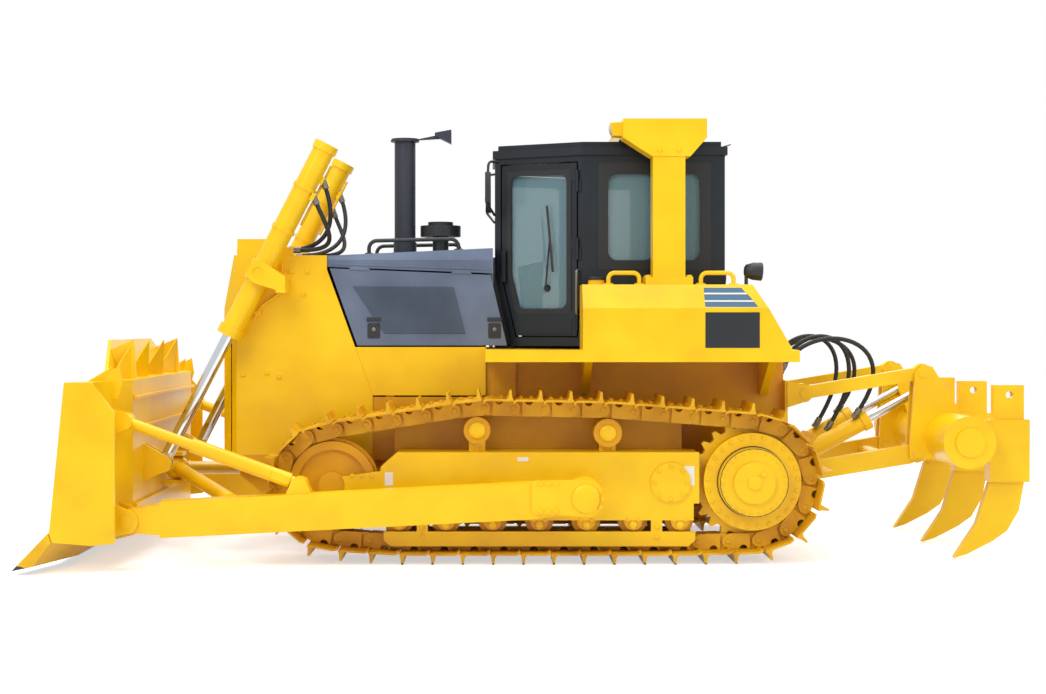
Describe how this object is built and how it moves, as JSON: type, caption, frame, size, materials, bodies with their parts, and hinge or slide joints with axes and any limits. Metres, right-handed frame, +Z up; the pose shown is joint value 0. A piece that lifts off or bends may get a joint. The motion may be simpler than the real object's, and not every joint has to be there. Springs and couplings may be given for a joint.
{
  "type": "crawler bulldozer",
  "caption": "Crawler bulldozer with a semi-U blade on push arms, twin lift cylinders, closed cab under a rollover bar and a parallelogram ripper.",
  "frame": {"origin": "on the ground under the middle of the machine's overall box", "axes": "+X forward towards the blade, +Y to the operator's left, +Z up"},
  "size_m": [7.236, 3.64, 3.262],
  "materials": {
    "body_yellow": "satin enamel",
    "hood_grey": "satin enamel",
    "cab_dark": "semi-matt enamel",
    "machine_steel": "rough",
    "track_steel": "worn bare steel",
    "edge_steel": "worn",
    "rod_chrome": "polished",
    "window_glass": "clear",
    "seat_cloth": "woven",
    "dark_plastic": "moulded",
    "stack_metal": "heat-dulled"
  },
  "bodies": {
    "tractor": {"main_frame": "machine_steel", "engine": "machine_steel", "radiator_guard": "body_yellow", "grille": "cab_dark", "radiator_core": "machine_steel", "hood_top": "hood_grey", "side_panels": "body_yellow", "exhaust_stack": "stack_metal", "precleaner": "stack_metal", "deck": "cab_dark", "rear_tank": "body_yellow", "rops": "body_yellow", "cab_shell": "cab_dark", "cab_roof": "cab_dark", "cab_glass": "window_glass", "operator_station": "seat_cloth", "work_lamps": "dark_plastic", "handrails": "cab_dark", "idlers": "machine_steel", "track_rollers": "machine_steel", "ripper_bracket": "body_yellow", "track_left": "track_steel", "track_right": "track_steel", "track_frame_left": "body_yellow", "track_frame_right": "body_yellow", "final_drive_left": "body_yellow", "final_drive_right": "body_yellow", "side_tank_left": "body_yellow", "side_tank_right": "body_yellow"},
    "fan": {"fan": "dark_plastic"},
    "engine_cover_left": {"engine_cover_left": "hood_grey"},
    "cab_door_left": {"cab_door_left": "cab_dark", "door_glass_left": "window_glass"},
    "lift_barrel_left": {"lift_barrel_left": "body_yellow"},
    "lift_rod_left": {"lift_rod_left": "rod_chrome"},
    "engine_cover_right": {"engine_cover_right": "hood_grey"},
    "cab_door_right": {"cab_door_right": "cab_dark", "door_glass_right": "window_glass"},
    "lift_barrel_right": {"lift_barrel_right": "body_yellow"},
    "lift_rod_right": {"lift_rod_right": "rod_chrome"},
    "blade": {"blade": "body_yellow", "cutting_edge": "edge_steel", "push_arms": "body_yellow", "brace_strut": "body_yellow", "tilt_cylinder": "body_yellow", "diagonal_braces": "body_yellow"},
    "ripper_arm": {"ripper_arm": "body_yellow"},
    "ripper_link": {"ripper_link": "body_yellow"},
    "ripper_beam": {"ripper_beam": "body_yellow", "ripper_shanks": "body_yellow"},
    "ripper_barrels": {"ripper_barrels": "body_yellow"},
    "ripper_rods": {"ripper_rods": "rod_chrome"}
  },
  "joints": [
    {"name": "fan_spin", "type": "hinge", "parent": "tractor", "child": "fan", "pos_m": [1.76, 0, 1.44], "axis": [1, 0, 0], "continuous": true},
    {"name": "engine_cover_left_lift", "type": "hinge", "parent": "tractor", "child": "engine_cover_left", "pos_m": [0.311, 0.575, 2.107], "axis": [0.9992, 0, 0.0397], "range_deg": [0, 70]},
    {"name": "cab_door_left_swing", "type": "hinge", "parent": "tractor", "child": "cab_door_left", "pos_m": [-0.316, 0.757, 2.295], "axis": [0, 0, 1], "range_deg": [0, 100]},
    {"name": "engine_cover_right_lift", "type": "hinge", "parent": "tractor", "child": "engine_cover_right", "pos_m": [0.311, -0.575, 2.107], "axis": [-0.9992, 0, -0.0397], "range_deg": [0, 70]},
    {"name": "cab_door_right_swing", "type": "hinge", "parent": "tractor", "child": "cab_door_right", "pos_m": [-0.316, -0.757, 2.295], "axis": [0, 0, -1], "range_deg": [0, 100]},
    {"name": "blade_lift", "type": "hinge", "parent": "tractor", "child": "blade", "pos_m": [-0.336, 0, 0.508], "axis": [0, -1, 0], "range_deg": [-8, 17.5]},
    {"name": "lift_barrel_left_swing", "type": "hinge", "parent": "tractor", "child": "lift_barrel_left", "pos_m": [2.048, 0.75, 2.109], "axis": [0, -1, 0], "range_deg": [-7.33, 15.97]},
    {"name": "lift_rod_left_slide", "type": "slide", "parent": "lift_barrel_left", "child": "lift_rod_left", "axis": [-0.4567, 0, 0.8896], "range_m": [-0.3998, 0.874]},
    {"name": "lift_barrel_right_swing", "type": "hinge", "parent": "tractor", "child": "lift_barrel_right", "pos_m": [2.048, -0.75, 2.109], "axis": [0, -1, 0], "range_deg": [-7.33, 15.97]},
    {"name": "lift_rod_right_slide", "type": "slide", "parent": "lift_barrel_right", "child": "lift_rod_right", "axis": [-0.4567, 0, 0.8896], "range_m": [-0.3998, 0.874]},
    {"name": "ripper_lift", "type": "hinge", "parent": "tractor", "child": "ripper_arm", "pos_m": [-2.007, 0, 0.598], "axis": [0, 1, 0], "range_deg": [-45, 47]},
    {"name": "ripper_link_swing", "type": "hinge", "parent": "tractor", "child": "ripper_link", "pos_m": [-2.045, 0, 1.206], "axis": [0, 1, 0], "range_deg": [-45.05, 47.05]},
    {"name": "ripper_beam_level", "type": "hinge", "parent": "ripper_arm", "child": "ripper_beam", "pos_m": [-2.904, 0, 0.748], "axis": [0, 1, 0], "range_deg": [-47.05, 45.05]},
    {"name": "ripper_barrels_swing", "type": "hinge", "parent": "tractor", "child": "ripper_barrels", "pos_m": [-2.03, 0, 0.69], "axis": [0, 1, 0], "range_deg": [-34.25, 35.77]},
    {"name": "ripper_rods_slide", "type": "slide", "parent": "ripper_barrels", "child": "ripper_rods", "axis": [-0.8776, 0, 0.4794], "range_m": [-0.2283, 0.2384]}
  ],
  "couplings": [
    {"joint": "lift_barrel_left_swing", "follows": "blade_lift", "ratio": 0.91},
    {"joint": "lift_rod_left_slide", "follows": "blade_lift", "m_per_rad": 2.86},
    {"joint": "lift_barrel_right_swing", "follows": "blade_lift", "ratio": 0.91},
    {"joint": "lift_rod_right_slide", "follows": "blade_lift", "m_per_rad": 2.86},
    {"joint": "ripper_link_swing", "follows": "ripper_lift", "ratio": 1},
    {"joint": "ripper_beam_level", "follows": "ripper_lift", "ratio": -1},
    {"joint": "ripper_barrels_swing", "follows": "ripper_lift", "ratio": 0.76},
    {"joint": "ripper_rods_slide", "follows": "ripper_lift", "m_per_rad": 0.29}
  ]
}
